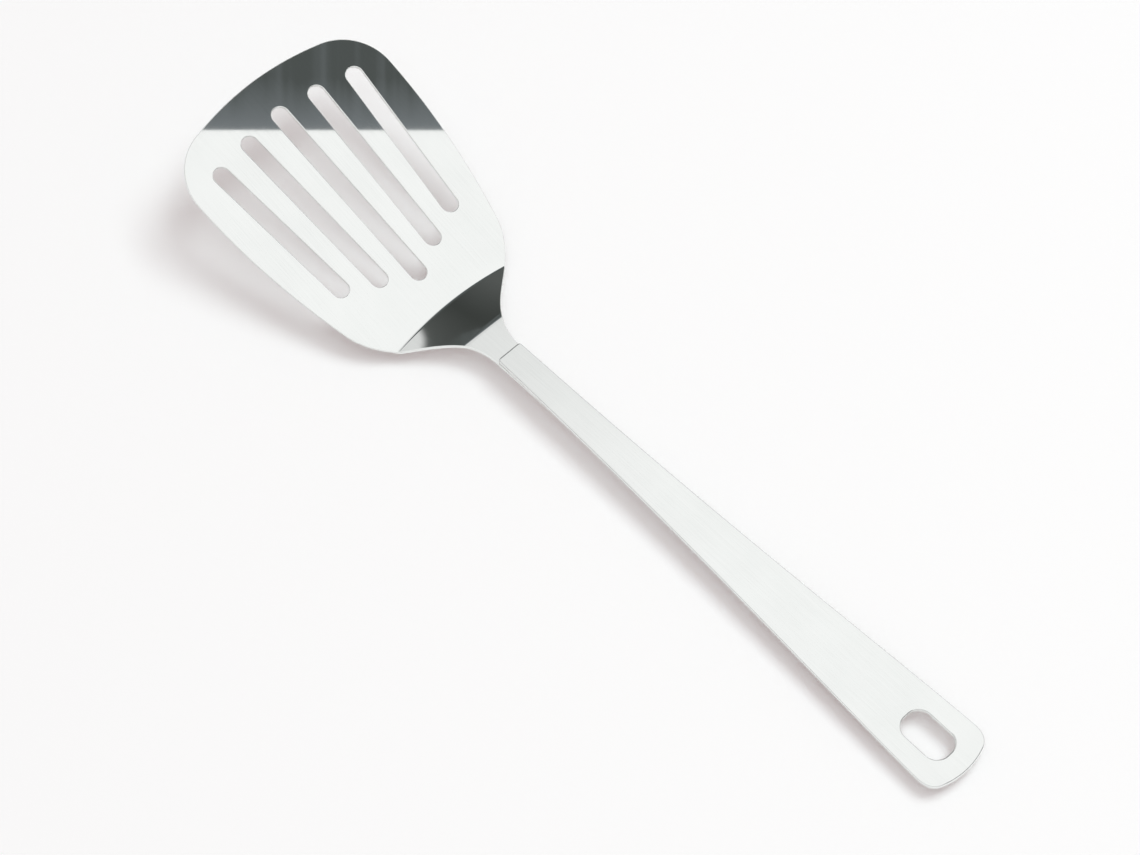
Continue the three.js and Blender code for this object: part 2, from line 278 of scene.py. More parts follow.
def plate(name, points, loops, fills, quads, surface, thickness, edge_round):
    """A closed plate. Its points lie on the full outline, and its flat faces end inside the rounding."""
    outward = {}
    for loop in loops:
        outward.update(zip(loop, loop_normals(points, loop)))
    inner = [p - outward[i] * edge_round if i in outward else p for i, p in enumerate(points)]
    faces = list(quads)
    for fill in fills:
        faces += filled(inner, fill)
    spots, normals, polygons = [], [], []

    def add(place, drop, up, side=Vector((0, 0, 0))):
        """Adds a vertex whose normal leans to the side as far as it is not upright."""
        height, normal = surface(place.x, place.y)
        spots.append(Vector((place.x, place.y, height)) - normal * drop)
        away = (side - normal * side.dot(normal)).normalized()
        normals.append((normal * up + away * math.sqrt(1 - up * up)).normalized())
        return len(spots) - 1

    upper = [add(p, 0, 1) for p in inner]
    lower = [add(p, thickness, -1) for p in inner]
    polygons += [tuple(upper[i] for i in face) for face in faces]
    polygons += [tuple(lower[i] for i in reversed(face)) for face in faces]
    for loop in loops:
        rings = [[upper[i] for i in loop]]
        for out, drop, up in edge_steps(thickness, edge_round):
            places = [(inner[i] + outward[i] * edge_round * out, outward[i].to_3d()) for i in loop]
            rings.append([add(place, drop, up, side) for place, side in places])
        rings.append([lower[i] for i in loop])
        for high, low in zip(rings, rings[1:]):
            for a in range(len(loop)):
                b = (a + 1) % len(loop)
                polygons.append((high[a], low[a], low[b], high[b]))

    piece = new_piece(name, spots, polygons)
    turn = tool_to_row.to_3x3()
    piece.data.normals_split_custom_set_from_vertices([turn @ normal for normal in normals])
    return piece


print("rings along a rim:", len(edge_steps(SHEET_THICKNESS, SHEET_THICKNESS / 2)) + 2)

# %% [markdown]
# ## The blade's outline
# The tip is a shallow arc between two round corners, and the sides draw in toward the shoulders.
# The outline could be traced over the picture, but there it is seen at a slant. So it is drawn from
# radii and lengths on the blade's own plane and then seen from above, and only one half is drawn,
# because the other half is its mirror.

# %% Outline the blade
BLADE_LENGTH = 96.3 * MM
BLADE_WIDTH = 82.6 * MM
TIP_RADIUS = 108 * MM
CORNER_RADIUS = 19 * MM
SIDE_TANGENT_LENGTH = 30 * MM
SHOULDER_TO_HEEL = 12.3 * MM
SHOULDER_DRAW_IN = 8.3 * MM


def on_blade(points):
    return [Vector((heel_x + p.x * math.cos(BLADE_ANGLE), p.y)) for p in points]


def blade_rim():
    half_width = BLADE_WIDTH / 2
    corner_y = half_width - CORNER_RADIUS
    tip_centre = BLADE_LENGTH - TIP_RADIUS
    corner_x = tip_centre + math.sqrt((TIP_RADIUS - CORNER_RADIUS) ** 2 - corner_y ** 2)
    tip_half_angle = math.atan2(corner_y, corner_x - tip_centre)
    tip = arc(tip_centre, 0, TIP_RADIUS, 0, tip_half_angle)
    corner = arc(corner_x, corner_y, CORNER_RADIUS, tip_half_angle, math.pi / 2)
    side_aim = Vector((corner_x - SIDE_TANGENT_LENGTH, half_width))
    side_end = Vector((SHOULDER_TO_HEEL, half_width - SHOULDER_DRAW_IN))
    side = sweep_points([corner[-1], side_aim, side_end])
    return on_blade(without_repeats(tip + corner + side))


rim = blade_rim()
print("rim points on one half:", len(rim))

# %% [markdown]
# ## The slots
# Five slots let the fat run off. They fan out from a point far behind the handle, and the middle one
# is longest. A boolean could cut them from the finished blade, but as loops of points they get the
# same rounded rims as the outline.

# %% Cut the slots
SLOT_WIDTH = 5.9 * MM
SLOT_FRONT_SETBACKS = [14.5 * MM, 16.1 * MM, 18.7 * MM]
SLOT_REAR_SETBACKS = [14.1 * MM, 20.1 * MM, 25.2 * MM]
SLOT_FAN_RADIUS = 330 * MM
SLOT_TO_SIDE = 11 * MM

outermost_slot = len(SLOT_FRONT_SETBACKS) - 1


def slot_loop(number):
    fan_step = math.atan((BLADE_WIDTH / 2 - SLOT_TO_SIDE) / SLOT_FAN_RADIUS) / outermost_slot
    slope = math.tan(fan_step * number)
    fan_point = BLADE_LENGTH - SLOT_FAN_RADIUS
    front = BLADE_LENGTH - SLOT_FRONT_SETBACKS[abs(number)]
    rear = SLOT_REAR_SETBACKS[abs(number)]
    front_y = slope * (front - fan_point)
    rear_y = slope * (rear - fan_point)
    radius = SLOT_WIDTH / 2
    heading = math.atan(slope)
    quarter = math.pi / 2
    ends = arc(front, front_y, radius, heading - quarter, heading + quarter)
    ends += arc(rear, rear_y, radius, heading + quarter, heading + 3 * quarter)
    return turned(on_blade(ends), left=False)


slots = [slot_loop(number) for number in range(-outermost_slot, outermost_slot + 1)]
print("slots:", len(slots))

# %% [markdown]
# ## The neck, row by row
# Where the sheet bends, the faces have to follow the bend. A subdivided plane would spend as many
# faces on the flat blade, so only the neck is laid out in rows across it. The rows crowd together
# in the two folds and bow like the heel's fold does. Each row ends on the sweeping edge between the
# blade's shoulder and the tang, and a short search finds where.

# %% Lay out the neck
SHOULDER_SWEEP = 18.5 * MM
NECK_SWEEP = 20 * MM
TANG_WIDTH = 10 * MM
FLAT_MARGIN = 2 * MM
NECK_STRIPS = 40
TANG_ROWS = 6
NECK_FOLD_ROWS = 28
NECK_ROWS = 8
HEEL_FOLD_ROWS = 36
SEARCH_HALVINGS = 40

shoulder = rim[-1]
shoulder_heading = (rim[-1] - rim[-2]).normalized()
edge_controls = [
    shoulder,
    shoulder + shoulder_heading * SHOULDER_SWEEP,
    Vector((NECK_SWEEP, TANG_WIDTH / 2)),
    Vector((0, TANG_WIDTH / 2)),
]


def fold_bow(y):
    return y ** 2 / (2 * NECK_CROWN_RADIUS * fold_slope)


def edge_share(x):
    low, high = 0, 1
    for _ in range(SEARCH_HALVINGS):
        middle = (low + high) / 2
        point = sweep(edge_controls, middle)
        low, high = (middle, high) if point.x + fold_bow(point.y) > x else (low, middle)
    return low


heel_run = heel_reach / fold_slope + FLAT_MARGIN
neck_run = neck_reach / neck_slope + FLAT_MARGIN
row_places = evenly(0, TANG_SHOWING - neck_run, TANG_ROWS)
row_places += evenly(TANG_SHOWING - neck_run, TANG_SHOWING + neck_run, NECK_FOLD_ROWS)[1:]
row_places += evenly(TANG_SHOWING + neck_run, heel_x - heel_run, NECK_ROWS)[1:]
row_places += evenly(heel_x - heel_run, heel_x + heel_run, HEEL_FOLD_ROWS)[1:]
row_ends = [sweep(edge_controls, edge_share(x)) for x in row_places]
shoulder_shares = evenly(0, edge_share(row_places[-1]), CURVE_STEPS)[1:-1]
shoulder_edge = [sweep(edge_controls, share) for share in shoulder_shares]
print("rows across the neck:", len(row_places))

# %% [markdown]
# ## The tang
# Behind the neck the sheet runs on under the handle as a narrow tang with a rounded end. It is
# drilled for the welds, which are only seen from below. Their places could be typed in again, but
# they come from the measured plugs, so hole and plug always fit.

# %% Outline the tang
TANG_LAP = 42 * MM
TANG_END_WIDTH = 8.4 * MM
TANG_END_ROUND = 3 * MM
PLUG_DIAMETER = 4 * MM
JOINT_CLEARANCE = 0.3 * MM

row_to_tool = tool_to_row.inverted()
plug_places = [(row_to_tool @ middle).x for middle in plug_middles]
tang_corner = Vector((-TANG_LAP, TANG_END_WIDTH / 2))
tang_heading = (tang_corner - row_ends[0]).normalized()
tang_turn = tang_corner - Vector((0, TANG_END_ROUND))
tang_rim = sweep_points([tang_corner - tang_heading * TANG_END_ROUND, tang_corner, tang_turn])
hole_radius = PLUG_DIAMETER / 2 + JOINT_CLEARANCE
plug_holes = [turned(arc(x, 0, hole_radius, 0, 2 * math.pi)[:-1], left=False) for x in plug_places]
print("weld holes at", [round(x / MM, 2) for x in plug_places], "mm")

# %% [markdown]
# ## The head as one piece
# A pressed head has no seams, and three meshes side by side would show theirs in a mirror finish.
# So three fields of faces share their border points: the slotted blade and the drilled tang are
# flat, so they are simply filled, and the neck is the grid of rows between them.

# %% Join blade, neck and tang
HEAD_EDGE_ROUND = 0.3 * MM


def head_piece():
    points = []

    def numbered(new_points):
        points.extend(new_points)
        return list(range(len(points) - len(new_points), len(points)))

    def both_sides(upper):
        return upper, numbered(mirrored([points[i] for i in upper]))

    rim_left = numbered(rim)
    rim_right = [rim_left[0]] + numbered(mirrored(rim[1:]))
    shoulder_left, shoulder_right = both_sides(numbered(shoulder_edge))
    ends_left, ends_right = both_sides(numbered(row_ends))
    tang_left, tang_right = both_sides(numbered(tang_rim))
    slot_loops = [numbered(slot) for slot in slots]
    hole_loops = [numbered(hole) for hole in plug_holes]
    rows = []
    for x, left, right in zip(row_places, ends_left, ends_right):
        reach = points[left].y - HEAD_EDGE_ROUND
        inner = evenly(reach, -reach, NECK_STRIPS)[1:-1]
        rows.append([left] + numbered([Vector((x - fold_bow(y), y)) for y in inner]) + [right])

    blade_loop = rim_left + shoulder_left + rows[-1] + shoulder_right[::-1] + rim_right[:0:-1]
    tang_loop = rows[0][::-1] + tang_left + tang_right[::-1]
    fills = [[blade_loop] + slot_loops, [tang_loop] + hole_loops]
    quads = []
    for rear, front in zip(rows, rows[1:]):
        for strip in range(NECK_STRIPS):
            quads.append((front[strip], rear[strip], rear[strip + 1], front[strip + 1]))
    outer = rim_left + shoulder_left + ends_left[::-1] + tang_left
    outer += tang_right[::-1] + ends_right + shoulder_right[::-1] + rim_right[:0:-1]
    loops = [outer] + slot_loops + hole_loops
    return plate(
        "turner_head", points, loops, fills=fills, quads=quads, surface=sheet_surface,
        thickness=SHEET_THICKNESS, edge_round=HEAD_EDGE_ROUND,
    )


head = head_piece()
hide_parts("head")
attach(head, "root")

# %% [markdown]
# ## The handle's outline
# The handle is a flat bar, narrow where it leaves the neck and flaring in a long curve to a
# slightly round end with an oval hanging hole. A stretched box would taper in straight lines, so
# one half is drawn as a smooth sweep between a few named widths, and the other half is its mirror.

# %% Draw the handle
HANDLE_LENGTH = 199 * MM
HANDLE_FRONT_WIDTH = 9.6 * MM
HANDLE_WAIST_LENGTH = 95 * MM
HANDLE_WAIST_WIDTH = 12.3 * MM
HANDLE_FLARE_LENGTH = 40 * MM
HANDLE_FLARE_WIDTH = 22.6 * MM
HANDLE_END_WIDTH = 25.7 * MM
HANDLE_FRONT_ROUND = 1.2 * MM
HANDLE_END_RADIUS = 26 * MM
HANDLE_CORNER_LENGTH = 9 * MM
HANDLE_CORNER_WIDTH = 4 * MM
HOLE_LENGTH = 17.5 * MM
HOLE_WIDTH = 10.8 * MM
HOLE_CORNER_RADIUS = 4.6 * MM
HOLE_TO_END = 7.3 * MM


def handle_half():
    corner = Vector((0, HANDLE_FRONT_WIDTH / 2))
    waist_aim = Vector((-HANDLE_WAIST_LENGTH, HANDLE_WAIST_WIDTH / 2))
    side_end = Vector((HANDLE_CORNER_LENGTH - HANDLE_LENGTH, HANDLE_END_WIDTH / 2))
    flare_aim = Vector((side_end.x + HANDLE_FLARE_LENGTH, HANDLE_FLARE_WIDTH / 2))
    side_start = corner + (waist_aim - corner).normalized() * HANDLE_FRONT_ROUND
    front_round = sweep_points([corner - Vector((0, HANDLE_FRONT_ROUND)), corner, side_start])
    side = sweep_points([side_start, waist_aim, flare_aim, side_end])
    end_centre = HANDLE_END_RADIUS - HANDLE_LENGTH
    end_angle = math.asin((side_end.y - HANDLE_CORNER_WIDTH) / HANDLE_END_RADIUS)
    end = arc(end_centre, 0, HANDLE_END_RADIUS, math.pi - end_angle, math.pi)
    side_heading = (side_end - flare_aim).normalized()
    end_heading = Vector((-math.sin(end_angle), -math.cos(end_angle)))
    reach = (end[0] - side_end).cross(end_heading) / side_heading.cross(end_heading)
    end_corner = sweep_points([side_end, side_end + side_heading * reach, end[0]])
    return without_repeats(front_round + side + end_corner + end)


def hanging_hole():
    rear = HOLE_TO_END - HANDLE_LENGTH + HOLE_CORNER_RADIUS
    front = rear + HOLE_LENGTH - 2 * HOLE_CORNER_RADIUS
    reach = HOLE_WIDTH / 2 - HOLE_CORNER_RADIUS
    corners = [(front, reach), (rear, reach), (rear, -reach), (front, -reach)]
    quarter = math.pi / 2
    loop = []
    for turn, (x, y) in enumerate(corners):
        loop += arc(x, y, HOLE_CORNER_RADIUS, turn * quarter, (turn + 1) * quarter)
    return turned(loop, left=False)


half_outline = handle_half()
hole_outline = hanging_hole()
print("handle points:", len(half_outline), "on one half and", len(hole_outline), "round the hole")

# %% [markdown]
# ## The handle as one piece
# The bar is a plate like the head, only flat and thicker, so the same builder makes it. Its edges are
# tumbled rounder than the sheet's, because a hand closes on them.

# %% Cut the bar
HANDLE_THICKNESS = 2 * MM
HANDLE_EDGE_ROUND = 0.6 * MM


def handle_surface(x, y):
    return JOINT_CLEARANCE + HANDLE_THICKNESS, Vector((0, 0, 1))


def handle_piece():
    outline = turned(half_outline + mirrored(half_outline[:-1])[::-1], left=True)
    points = outline + hole_outline
    loops = [list(range(len(outline))), list(range(len(outline), len(points)))]
    return plate(
        "turner_handle", points, loops, fills=[loops], quads=[], surface=handle_surface,
        thickness=HANDLE_THICKNESS, edge_round=HANDLE_EDGE_ROUND,
    )


handle = handle_piece()
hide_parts("handle")
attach(handle, "root")

# %% [markdown]
# ## The weld plugs
# A plug weld is a drilled hole filled with molten metal, then ground. A plain cylinder would fill
# the hole, but the real one keeps a low crown and a shallow ring where it cooled, so a profile is
# turned round the hole's middle.

# %% Turn the weld plugs
PLUG_SIDES = 48
PLUG_FIT = 0.03 * MM
PLUG_CROWN = 0.12 * MM
PLUG_GROOVE = 0.06 * MM
PLUG_SHOULDER = 0.084 * MM
PLUG_TOP_SHARE = 0.7
PLUG_LIP_SHARE = 0.9
PLUG_GROOVE_SHARE = 0.78
PLUG_SHOULDER_SHARE = 0.6
PLUG_CROWN_SHARE = 0.3


def plug_piece(name, x):
    radius = hole_radius - PLUG_FIT
    top = JOINT_CLEARANCE - PLUG_FIT
    foot = -SHEET_THICKNESS
    groove = foot + PLUG_GROOVE
    profile = [
        (radius * PLUG_TOP_SHARE, top),
        (radius, top - PLUG_FIT),
        (radius, groove),
        (radius * PLUG_LIP_SHARE, foot - PLUG_GROOVE),
        (radius * PLUG_GROOVE_SHARE, groove),
        (radius * PLUG_SHOULDER_SHARE, foot - PLUG_SHOULDER),
        (radius * PLUG_CROWN_SHARE, foot - PLUG_CROWN),
    ]
    spots, polygons = [], []
    for r, z in profile:
        for side in range(PLUG_SIDES):
            angle = 2 * math.pi * side / PLUG_SIDES
            spots.append(Vector((x + r * math.cos(angle), r * math.sin(angle), z)))
    for ring in range(len(profile) - 1):
        for side in range(PLUG_SIDES):
            after = (side + 1) % PLUG_SIDES
            high, low = ring * PLUG_SIDES, (ring + 1) * PLUG_SIDES
            polygons.append((high + side, low + side, low + after, high + after))
    polygons.append(tuple(range(PLUG_SIDES)))
    polygons.append(tuple(reversed(range(len(spots) - PLUG_SIDES, len(spots)))))
    return new_piece(name, spots, polygons)


plugs = [plug_piece(f"turner_{name}", x) for name, x in zip(plug_names, plug_places)]
for plug, name in zip(plugs, plug_names):
    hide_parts(name)
    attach(plug, "root")
print("weld plugs:", len(plugs))

# %% [markdown]
# ## Nodes as formulas
# A finish is a small graph of nodes. It could be wired by hand in the editor, but in a script each
# wire is a line, so a few helpers add one node each and return its output. The finishes below then
# read like formulas.

# %% Make the node helpers
def combined(nodes, links, operation, first, second):
    node = nodes.new("ShaderNodeMath")
    node.operation = operation
    links.new(first, node.inputs[0])
    links.new(second, node.inputs[1])
    return node.outputs["Value"]


def map_range(nodes, links, value, from_low, from_high, to_low, to_high):
    node = nodes.new("ShaderNodeMapRange")
    names = ("From Min", "From Max", "To Min", "To Max")
    for name, number in zip(names, (from_low, from_high, to_low, to_high)):
        node.inputs[name].default_value = number
    links.new(value, node.inputs["Value"])
    return node.outputs["Result"]


def mixed(nodes, links, share, first, second):
    """A colour between two others, each given as numbers or as another node's output."""
    node = nodes.new("ShaderNodeMix")
    node.data_type = "RGBA"
    links.new(share, node.inputs["Factor"])
    for name, colour in (("A", first), ("B", second)):
        if isinstance(colour, tuple):
            node.inputs[name].default_value = (*colour, 1)
        else:
            links.new(colour, node.inputs[name])
    return node.outputs["Result"]


def noise(nodes, links, place, scale, detail):
    node = nodes.new("ShaderNodeTexNoise")
    node.inputs["Scale"].default_value = scale
    node.inputs["Detail"].default_value = detail
    links.new(place, node.inputs["Vector"])
    return node.outputs["Fac"]


def empty_material(name):
    material = bpy.data.materials.new(name)
    material.use_nodes = True
    tree = material.node_tree
    tree.nodes.clear()
    return material, tree.nodes, tree.links


helpers = (combined, map_range, mixed, noise, empty_material)
print("node helpers:", [helper.__name__ for helper in helpers])

# %% [markdown]
# ## Polished steel
# Polished stainless steel is a mirror with a memory of the belt that ground it: hair-fine lines
# along the tool, an uneven sheen and a colour that is almost neutral with a little green. A picture
# of brushed metal could be wrapped on, but noise that is stretched along the tool gives the same
# lines at any size. A second, cloudy noise makes them stronger in some places than in others.
# Together they darken the steel a little, make it rougher and raise a very small bump.

# %% Make the steels
GRAIN_ALONG = 60
GRAIN_ACROSS = 4200
GRAIN_DETAIL = 3
SHEEN_SCALE = 55
SHEEN_DETAIL = 4
GROUND_RANGE = (0.1, 0.45)


def steel(name, dark, light, smooth, rough, grain_height):
    material, nodes, links = empty_material(name)
    place = nodes.new("ShaderNodeTexCoord")
    stretch = nodes.new("ShaderNodeMapping")
    stretch.inputs["Scale"].default_value = (GRAIN_ALONG, GRAIN_ACROSS, GRAIN_ALONG)
    links.new(place.outputs["Object"], stretch.inputs["Vector"])
    grain = noise(nodes, links, stretch.outputs["Vector"], 1, GRAIN_DETAIL)
    sheen = noise(nodes, links, place.outputs["Object"], SHEEN_SCALE, SHEEN_DETAIL)
    both = combined(nodes, links, "MULTIPLY", grain, sheen)
    bump = nodes.new("ShaderNodeBump")
    bump.inputs["Distance"].default_value = grain_height
    links.new(grain, bump.inputs["Height"])
    shader = nodes.new("ShaderNodeBsdfPrincipled")
    shader.inputs["Metallic"].default_value = 1
    ground = map_range(nodes, links, both, *GROUND_RANGE, 0, 1)
    links.new(mixed(nodes, links, ground, light, dark), shader.inputs["Base Color"])
    links.new(map_range(nodes, links, ground, 0, 1, smooth, rough), shader.inputs["Roughness"])
    links.new(bump.outputs["Normal"], shader.inputs["Normal"])
    output = nodes.new("ShaderNodeOutputMaterial")
    links.new(shader.outputs["BSDF"], output.inputs["Surface"])
    return material


STEEL_DARK = (0.818, 0.836, 0.821)
STEEL_LIGHT = (0.872, 0.888, 0.873)
WELD_DARK = (0.52, 0.50, 0.47)
WELD_LIGHT = (0.76, 0.76, 0.75)
SHEET_FINISH = dict(smooth=0.035, rough=0.06, grain_height=0.0002 * MM)
BAR_FINISH = dict(smooth=0.06, rough=0.10, grain_height=0.0003 * MM)
WELD_FINISH = dict(smooth=0.25, rough=0.45, grain_height=0.004 * MM)

sheet_steel = steel("polished_sheet", STEEL_DARK, STEEL_LIGHT, **SHEET_FINISH)
bar_steel = steel("polished_bar", STEEL_DARK, STEEL_LIGHT, **BAR_FINISH)
weld_steel = steel("ground_weld", WELD_DARK, WELD_LIGHT, **WELD_FINISH)
head.data.materials.append(sheet_steel)
handle.data.materials.append(bar_steel)
for plug in plugs:
    plug.data.materials.append(weld_steel)
print("steels:", [material.name for material in (sheet_steel, bar_steel, weld_steel)])

# %% [markdown]
# ## The camera
# The picture was taken with a long lens from above the handle's end, so the blade points to the
# upper left. The camera could be dragged until it looks right, but numbers stay the same in every
# run: its angle round the tool, its height angle, its distance, and a small slide sideways and up.

# %% Place the camera
CAMERA_AZIMUTH = math.radians(226.14)
CAMERA_ELEVATION = math.radians(59.73)
CAMERA_DISTANCE = 1133.5 * MM
CAMERA_RIGHT = -7.53 * MM
CAMERA_UP = 3.48 * MM
IMAGE_WIDTH_PX = 1140
FOCAL_LENGTH_PX = 3600
SENSOR_WIDTH_MM = 36
CLIP_END = 20

back = Vector((
    math.sin(CAMERA_AZIMUTH) * math.cos(CAMERA_ELEVATION),
    -math.cos(CAMERA_AZIMUTH) * math.cos(CAMERA_ELEVATION),
    math.sin(CAMERA_ELEVATION),
))
camera_turn = back.to_track_quat("Z", "Y")
eye = back * CAMERA_DISTANCE + camera_turn @ Vector((CAMERA_RIGHT, CAMERA_UP, 0))
camera_data = bpy.data.cameras.new("camera")
camera_data.sensor_width = SENSOR_WIDTH_MM
camera_data.lens = FOCAL_LENGTH_PX * SENSOR_WIDTH_MM / IMAGE_WIDTH_PX
camera_data.clip_end = CLIP_END
camera = bpy.data.objects.new("camera", camera_data)
camera.location = eye
camera.rotation_mode = "QUATERNION"
camera.rotation_quaternion = camera_turn
bpy.context.scene.collection.objects.link(camera)
bpy.context.scene.camera = camera
print("lens in mm:", round(camera_data.lens, 1))

# %% [markdown]
# ## Rays that are seen
# The floor and the room, which come next, should look bright to the eye without adding light to the
# floor. Blender's light path node tells the rays apart: those that come from the camera, straight
# or by way of a mirror, and those that only gather light for matt ground. The node could be wired
# anew each time, but both need the same wires, so they are one helper.

# %% Tell the rays apart
def seen_rays(nodes, links):
    """One for what the camera sees, also in a mirror, and zero for light that lands on matt ground."""
    rays = nodes.new("ShaderNodeLightPath").outputs
    seen = combined(nodes, links, "MAXIMUM", rays["Is Camera Ray"], rays["Is Glossy Ray"])
    seen = combined(nodes, links, "MAXIMUM", seen, rays["Is Transmission Ray"])
    gathered = combined(nodes, links, "MINIMUM", seen, rays["Diffuse Depth"])
    return combined(nodes, links, "SUBTRACT", seen, gathered)


print("helper for rays:", seen_rays.__name__)

# %% [markdown]
# ## The floor
# The tool is shown on a plain white sweep, with a soft shadow that shows through the slots too. A
# shadow catcher only works over a picture, so the floor is a real surface. It is set a few
# millimetres low, because the shadow in the picture stands clear of the handle all along. A small
# part of the white is a glow that only seen rays meet, a little warm, which keeps the shadow pale
# and slightly pink. Far out the glow takes over, so the sweep has no dark end.

# %% Lay the floor
FLOOR_RADIUS = 6
FLOOR_SIDES = 96
FLOOR_GAP = 4.5 * MM
FLOOR_DIFFUSE = (0.75, 0.845, 0.85)
FLOOR_GLOW = (0.255, 0.16, 0.155)
FLOOR_FADE = (0.3, 0.9)
FAR_FLOOR = (0.975, 0.975, 0.975)
BLACK = (0, 0, 0)


def floor_material():
    material, nodes, links = empty_material("white_sweep")
    place = nodes.new("ShaderNodeTexCoord")
    reach = nodes.new("ShaderNodeVectorMath")
    reach.operation = "LENGTH"
    links.new(place.outputs["Object"], reach.inputs[0])
    far = map_range(nodes, links, reach.outputs["Value"], *FLOOR_FADE, 0, 1)
    matt = nodes.new("ShaderNodeBsdfDiffuse")
    links.new(mixed(nodes, links, far, FLOOR_DIFFUSE, BLACK), matt.inputs["Color"])
    glow = nodes.new("ShaderNodeEmission")
    links.new(mixed(nodes, links, far, FLOOR_GLOW, FAR_FLOOR), glow.inputs["Color"])
    links.new(seen_rays(nodes, links), glow.inputs["Strength"])
    both = nodes.new("ShaderNodeAddShader")
    links.new(matt.outputs["BSDF"], both.inputs[0])
    links.new(glow.outputs["Emission"], both.inputs[1])
    output = nodes.new("ShaderNodeOutputMaterial")
    links.new(both.outputs["Shader"], output.inputs["Surface"])
    return material


floor_rim = [2 * math.pi * side / FLOOR_SIDES for side in range(FLOOR_SIDES)]
floor_spots = [(FLOOR_RADIUS * math.cos(a), FLOOR_RADIUS * math.sin(a), 0) for a in floor_rim]
floor_mesh = bpy.data.meshes.new("floor")
floor_mesh.from_pydata(floor_spots, [], [tuple(range(FLOOR_SIDES))])
floor_mesh.materials.append(floor_material())
floor = bpy.data.objects.new("floor", floor_mesh)
floor.location.z = cad_low.z - FLOOR_GAP
bpy.context.scene.collection.objects.link(floor)
print("floor at", round(floor.location.z / MM, 2), "mm")

# %% [markdown]
# ## Dark things for the steel to see
# Metal shows its surroundings, so the surroundings are the lighting. To one side stands a dark
# wall: the blade and the handle look up past it into the white, and the neck tilts just far enough
# to look at it, so it turns dark with a crisp rim, darkest in the middle. A dark curtain behind the
# handle draws the thin line round its end. Both could be hung up as real sheets, but they are far
# away, so a few soft limits on the direction are enough.

# %% Shade the wall and the curtain
WALL_TILT = math.radians(23.5)
WALL_SKEW = 0.039
WALL_EDGE = 0.0095
WALL_SOFTNESS = 0.008
WALL_LIMITS = [("X", 0.46, 0.54), ("Y", -0.62, -0.54), ("Z", 0.42, 0.48)]
WALL_MIDDLE = (0.706, -0.355, 0.612)
WALL_SHADE = (0, 0.12)
WALL_DARK = (0.048, 0.052, 0.049)
WALL_LIGHT = (0.100, 0.106, 0.103)
CURTAIN_LIMITS = [("X", -0.48, -0.56), ("Y", 0.06, -0.02), ("Z", 0.56, 0.48), ("Z", 0.12, 0.2)]


def within(nodes, links, direction, limits):
    """One for the directions that lie inside a soft limit on each axis, and zero for the others."""
    shares = []
    for axis, outside, inside in limits:
        shares.append(map_range(nodes, links, direction.outputs[axis], outside, inside, 0, 1))
    share = shares[0]
    for other in shares[1:]:
        share = combined(nodes, links, "MULTIPLY", share, other)
    return share


def dark_wall(nodes, links, place, direction):
    """The share of wall or curtain in each direction, and the colour of its cloth."""
    toward = nodes.new("ShaderNodeVectorMath")
    toward.operation = "DOT_PRODUCT"
    toward.inputs[1].default_value = (WALL_SKEW, -math.cos(WALL_TILT), -math.sin(WALL_TILT))
    links.new(place.outputs["Generated"], toward.inputs[0])
    soft_edge = (WALL_EDGE - WALL_SOFTNESS, WALL_EDGE + WALL_SOFTNESS)
    beyond = map_range(nodes, links, toward.outputs["Value"], *soft_edge, 0, 1)
    wall = combined(nodes, links, "MULTIPLY", beyond, within(nodes, links, direction, WALL_LIMITS))
    curtain = within(nodes, links, direction, CURTAIN_LIMITS)
    away = nodes.new("ShaderNodeVectorMath")
    away.operation = "DISTANCE"
    away.inputs[1].default_value = WALL_MIDDLE
    links.new(place.outputs["Generated"], away.inputs[0])
    shade = map_range(nodes, links, away.outputs["Value"], *WALL_SHADE, 0, 1)
    cloth = mixed(nodes, links, shade, WALL_DARK, WALL_LIGHT)
    return combined(nodes, links, "MAXIMUM", wall, curtain), cloth


print("the wall leans by", round(math.degrees(WALL_TILT), 1), "degrees")

# %% [markdown]
# ## The bright room
# Overhead is a broad white ceiling that fades a little toward the blade's end of the room, and the
# room gets darker toward the horizon, so that low views still show steel and not white paint. A
# picture of a studio could be wrapped round the scene, but two gradients do as well and need no
# file. Scattered light gets one plain level, so that colours keep the values they are given.

# %% Paint the surroundings
AMBIENT = (0.36, 0.36, 0.36)
WHITE = (1, 1, 1)
CEILING_FADE = (0.285, 0.38)
CEILING_LIGHT = (1.04, 0.79)
ROOM_RISE = (0.05, 0.6)
ROOM_LIGHT = (0.42, 1)


def surroundings():
    world = bpy.data.worlds.new("studio")
    world.use_nodes = True
    bpy.context.scene.world = world
    nodes, links = world.node_tree.nodes, world.node_tree.links
    nodes.clear()
    place = nodes.new("ShaderNodeTexCoord")
    direction = nodes.new("ShaderNodeSeparateXYZ")
    links.new(place.outputs["Generated"], direction.inputs["Vector"])
    fade = map_range(nodes, links, direction.outputs["X"], *CEILING_FADE, *CEILING_LIGHT)
    rise = map_range(nodes, links, direction.outputs["Z"], *ROOM_RISE, *ROOM_LIGHT)
    level = combined(nodes, links, "MULTIPLY", fade, rise)
    ceiling = nodes.new("ShaderNodeCombineColor")
    for channel in ("Red", "Green", "Blue"):
        links.new(level, ceiling.inputs[channel])
    dark, cloth = dark_wall(nodes, links, place, direction)
    room = mixed(nodes, links, dark, ceiling.outputs["Color"], cloth)
    reflected = mixed(nodes, links, seen_rays(nodes, links), AMBIENT, room)
    path = nodes.new("ShaderNodeLightPath")
    shown = mixed(nodes, links, path.outputs["Is Camera Ray"], reflected, WHITE)
    background = nodes.new("ShaderNodeBackground")
    links.new(shown, background.inputs["Color"])
    output = nodes.new("ShaderNodeOutputWorld")
    links.new(background.outputs["Background"], output.inputs["Surface"])
    return world


print("surroundings:", surroundings().name)

